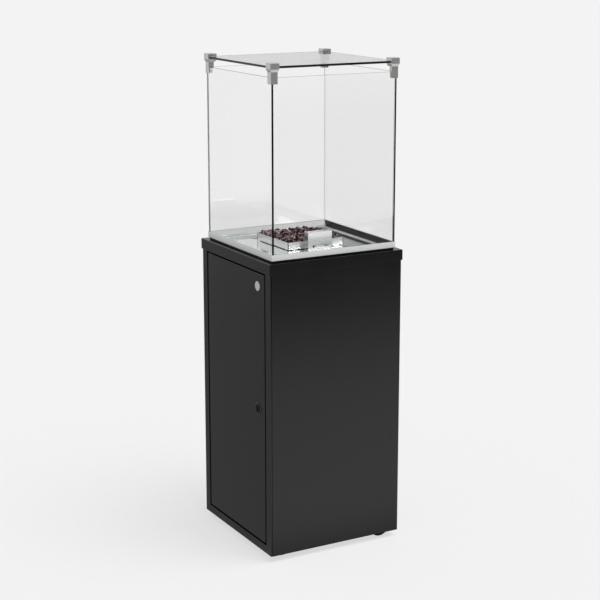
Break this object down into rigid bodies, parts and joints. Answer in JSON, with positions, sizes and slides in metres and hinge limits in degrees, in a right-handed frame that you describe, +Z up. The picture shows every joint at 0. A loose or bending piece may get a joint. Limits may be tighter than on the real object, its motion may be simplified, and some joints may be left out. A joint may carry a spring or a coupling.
{
  "type": "gas fireplace",
  "caption": "Tall square patio gas fireplace: black steel cabinet with a lockable door for the gas bottle, stainless lava-rock burner and a glass box round the flame.",
  "frame": {"origin": "on the floor, at the centre of the square footprint", "axes": "+Z up, the door faces -Y, +X to the right as seen from the door's side"},
  "size_m": [0.411, 0.411, 1.35],
  "materials": {
    "black_coat": "fine satin powder coat",
    "dark_spacer": "matt black",
    "stainless": "brushed stainless sheet",
    "satin_nickel": "satin nickel plate",
    "zinc": "bright zinc plate",
    "clear_glass": "clear tempered glass",
    "lava_stone": "rough porous lava stone",
    "brass": "machined brass",
    "copper": "drawn copper",
    "silicone": "matt black silicone rubber",
    "tyre_rubber": "moulded rubber",
    "black_plastic": "moulded black plastic",
    "red_plastic": "moulded red plastic",
    "grey_plastic": "moulded grey plastic",
    "ceramic": "white alumina ceramic"
  },
  "bodies": {
    "cabinet": {"base_plate": "black_coat", "left_side_panel": "black_coat", "right_side_panel": "black_coat", "back_panel": "black_coat", "front_frame": "black_coat", "top_cap": "black_coat", "control_panel": "black_coat", "wheel_brackets": "black_coat", "tray_plinth": "dark_spacer", "burner_tray": "stainless", "retainer_strips": "stainless", "retainer_corners": "stainless", "burner_trough": "stainless", "igniter_cover": "stainless", "front_left_clamp": "satin_nickel", "front_right_clamp": "satin_nickel", "rear_left_clamp": "satin_nickel", "rear_right_clamp": "satin_nickel", "door_pivots": "zinc", "clamp_screws": "zinc", "burner_tube": "zinc", "pilot_bracket": "zinc", "heat_shield": "zinc", "mixing_tube": "zinc", "foot_studs": "zinc", "wheel_axles": "zinc", "cabinet_screws": "zinc", "front_glass": "clear_glass", "rear_glass": "clear_glass", "left_glass": "clear_glass", "right_glass": "clear_glass", "top_glass": "clear_glass", "lava_rocks": "lava_stone", "pilot_burner": "brass", "gas_injector": "brass", "gas_valve": "brass", "gas_inlet": "brass", "thermocouple": "copper", "gas_pipe": "copper", "pilot_pipe": "copper", "thermocouple_lead": "copper", "glass_seats": "silicone", "foot_pads": "silicone", "ignition_lead": "black_plastic", "piezo_body": "black_plastic", "igniter_electrode": "ceramic"},
    "door": {"door_panel": "black_coat", "door_badge": "satin_nickel", "door_bushes": "black_plastic", "lock_housing": "black_plastic", "lock_nut": "zinc"},
    "lock": {"lock_core": "black_plastic", "lock_cam": "zinc"},
    "valve_spindle": {"valve_spindle": "zinc"},
    "control_knob": {"control_knob": "black_plastic"},
    "piezo_button": {"piezo_button": "red_plastic"},
    "left_wheel": {"left_wheel_hub": "grey_plastic", "left_wheel_tyre": "tyre_rubber"},
    "right_wheel": {"right_wheel_hub": "grey_plastic", "right_wheel_tyre": "tyre_rubber"}
  },
  "joints": [
    {"name": "door_hinge", "type": "hinge", "parent": "cabinet", "child": "door", "pos_m": [-0.1605, -0.1945, 0.4205], "axis": [0, 0, -1], "range_deg": [0, 110]},
    {"name": "lock_turn", "type": "hinge", "parent": "door", "child": "lock", "pos_m": [0.1315, -0.2025, 0.4205], "axis": [0, -1, 0], "range_deg": [0, 90]},
    {"name": "knob_turn", "type": "hinge", "parent": "cabinet", "child": "valve_spindle", "pos_m": [-0.07, -0.17, 0.755], "axis": [0, 1, 0], "range_deg": [0, 180]},
    {"name": "knob_push", "type": "slide", "parent": "valve_spindle", "child": "control_knob", "axis": [0, 1, 0], "range_m": [0, 0.005], "stiffness_N_per_m": 600, "springref_m": -0.002},
    {"name": "piezo_push", "type": "slide", "parent": "cabinet", "child": "piezo_button", "axis": [0, 1, 0], "range_m": [0, 0.006], "stiffness_N_per_m": 1200, "springref_m": -0.001},
    {"name": "left_wheel_spin", "type": "hinge", "parent": "cabinet", "child": "left_wheel", "pos_m": [-0.17, 0.158, 0.03], "axis": [1, 0, 0], "continuous": true},
    {"name": "right_wheel_spin", "type": "hinge", "parent": "cabinet", "child": "right_wheel", "pos_m": [0.17, 0.158, 0.03], "axis": [1, 0, 0], "continuous": true}
  ]
}
